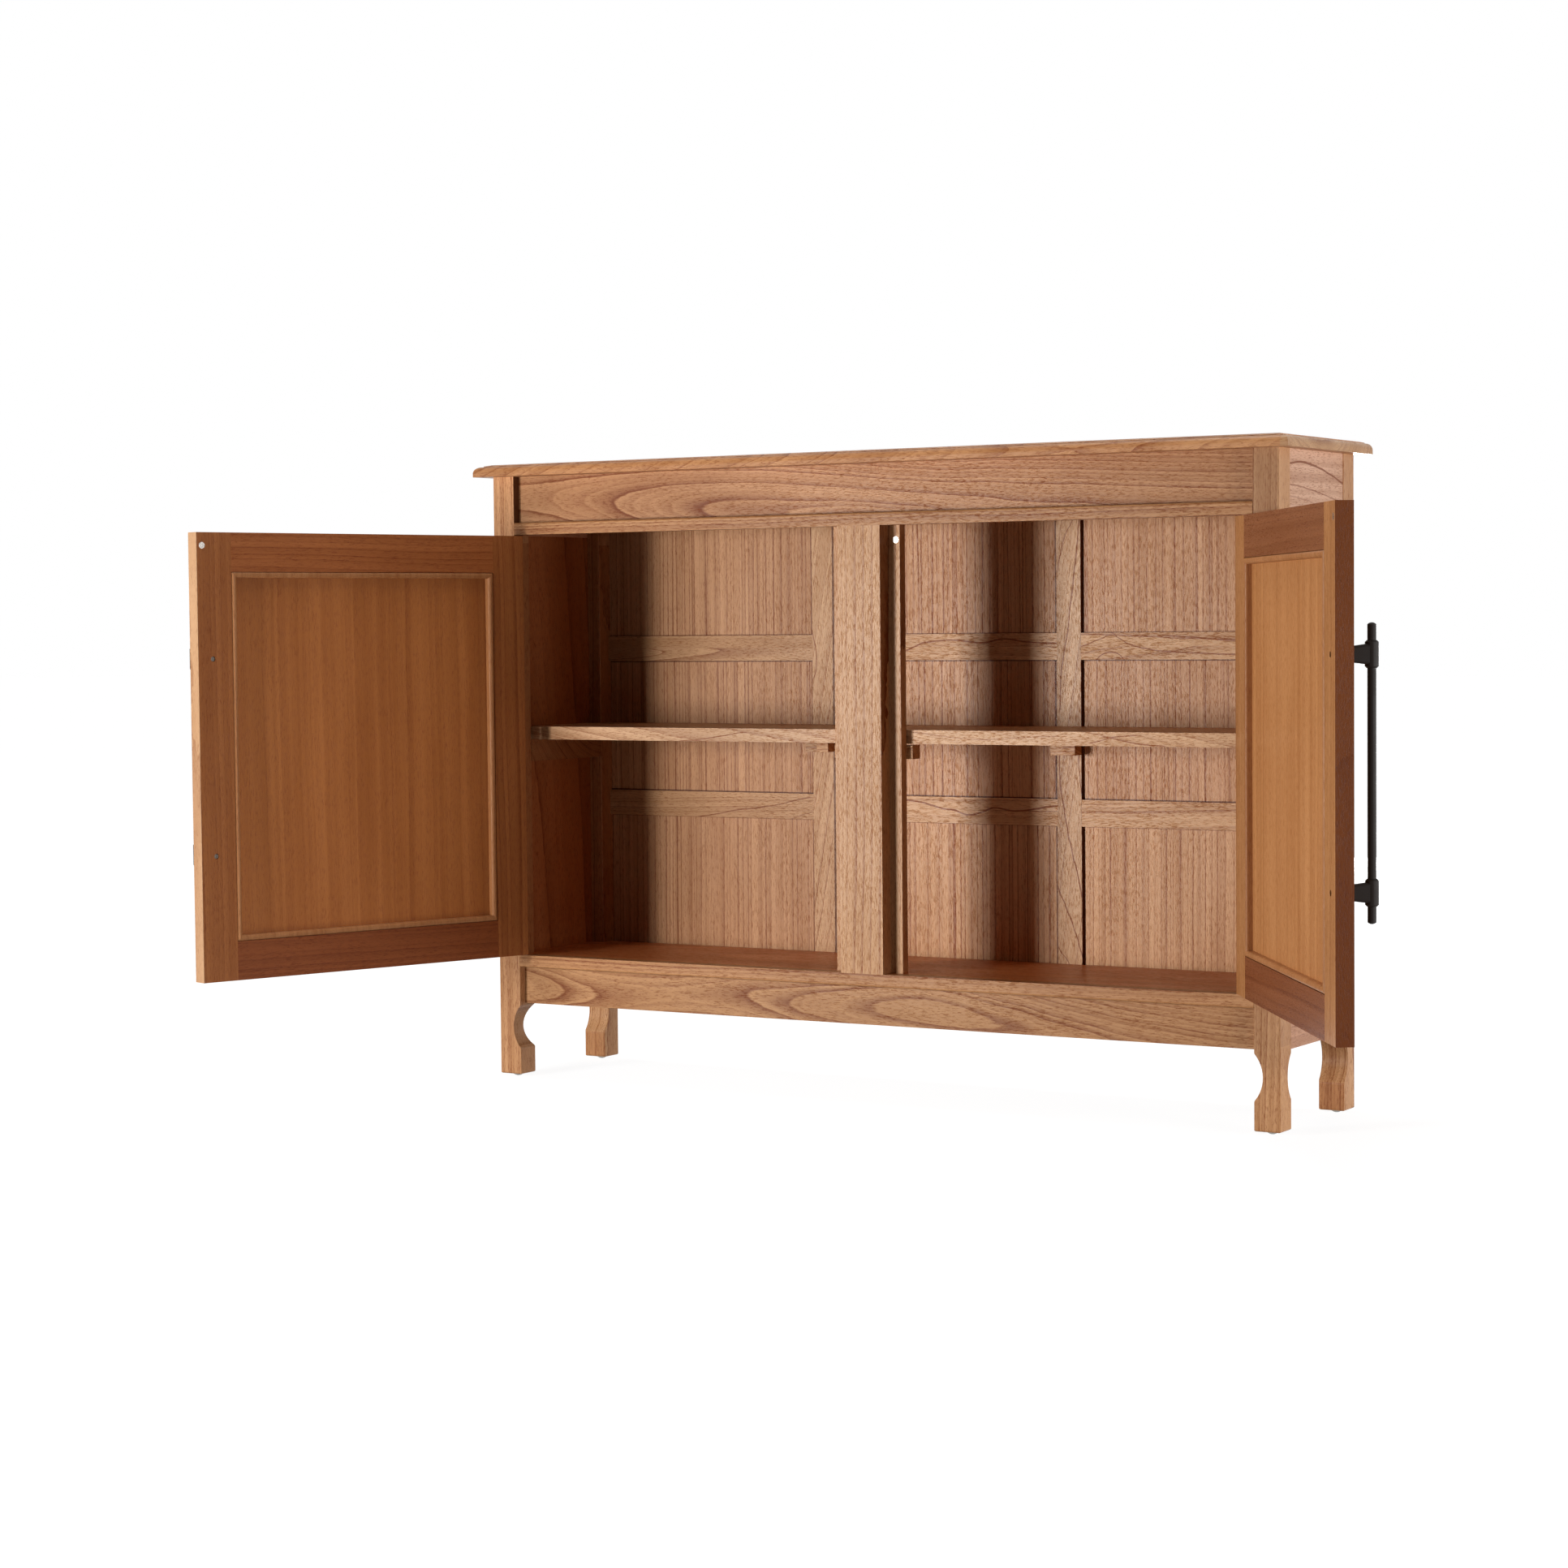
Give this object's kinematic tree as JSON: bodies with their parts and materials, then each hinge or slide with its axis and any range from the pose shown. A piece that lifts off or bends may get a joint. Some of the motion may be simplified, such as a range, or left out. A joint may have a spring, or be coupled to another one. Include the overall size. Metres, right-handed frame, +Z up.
{
  "type": "rattan sideboard",
  "caption": "Shallow solid wood sideboard on scalloped legs, with a shelf behind framed cane doors that swing on butt hinges and have black bar handles.",
  "frame": {"origin": "on the floor, under the middle of the four posts", "axes": "+X to the right seen from the front, +Y to the back, +Z up"},
  "size_m": [1.6075, 0.7547, 0.858],
  "materials": {
    "case_wood": "oiled open grain",
    "door_wood": "satin",
    "inside_wood": "satin",
    "back_wood": "matt veneer",
    "cane": "woven natural cane",
    "black_metal": "matt",
    "bright_metal": "nickel",
    "glide_metal": "satin"
  },
  "bodies": {
    "case": {"top_board": "case_wood", "front_left_post": "case_wood", "front_right_post": "case_wood", "back_left_post": "case_wood", "back_right_post": "case_wood", "foot_glides": "glide_metal", "upper_apron": "case_wood", "upper_rail": "case_wood", "lower_rail": "case_wood", "lower_apron": "case_wood", "centre_stile": "case_wood", "door_stop": "inside_wood", "stop_magnets": "bright_metal", "left_side_panel": "case_wood", "right_side_panel": "case_wood", "side_top_rails": "case_wood", "side_bottom_rails": "case_wood", "back_panel": "back_wood", "back_top_rail": "back_wood", "back_bottom_rail": "back_wood", "back_stiles": "back_wood", "back_cross_rails": "back_wood", "floor_board": "inside_wood", "shelf": "case_wood", "shelf_cleats": "inside_wood", "shelf_blocks": "inside_wood", "top_blocks": "inside_wood", "case_hinge_leaves": "black_metal", "hinge_pins": "black_metal", "case_hinge_screws": "black_metal"},
    "left_door": {"left_hinge_stile": "door_wood", "left_free_stile": "door_wood", "left_door_top_rail": "door_wood", "left_door_bottom_rail": "door_wood", "left_door_panel": "door_wood", "left_door_bead": "door_wood", "left_cane": "cane", "left_cane_reed": "cane", "left_door_magnet": "bright_metal", "left_handle_bar": "black_metal", "left_handle_posts": "black_metal", "left_handle_screws": "bright_metal", "left_hinge_leaves": "black_metal", "left_hinge_screws": "black_metal"},
    "right_door": {"right_hinge_stile": "door_wood", "right_free_stile": "door_wood", "right_door_top_rail": "door_wood", "right_door_bottom_rail": "door_wood", "right_door_panel": "door_wood", "right_door_bead": "door_wood", "right_cane": "cane", "right_cane_reed": "cane", "right_door_magnet": "bright_metal", "right_handle_bar": "black_metal", "right_handle_posts": "black_metal", "right_handle_screws": "bright_metal", "right_hinge_leaves": "black_metal", "right_hinge_screws": "black_metal"}
  },
  "joints": [
    {"name": "left_door_hinge", "type": "hinge", "parent": "case", "child": "left_door", "pos_m": [-0.554, -0.121, 0.46625], "axis": [0, 0, -1], "range_deg": [-108.1, 56.9]},
    {"name": "right_door_hinge", "type": "hinge", "parent": "case", "child": "right_door", "pos_m": [0.554, -0.121, 0.46625], "axis": [0, 0, 1], "range_deg": [-125.4, 39.6]}
  ]
}
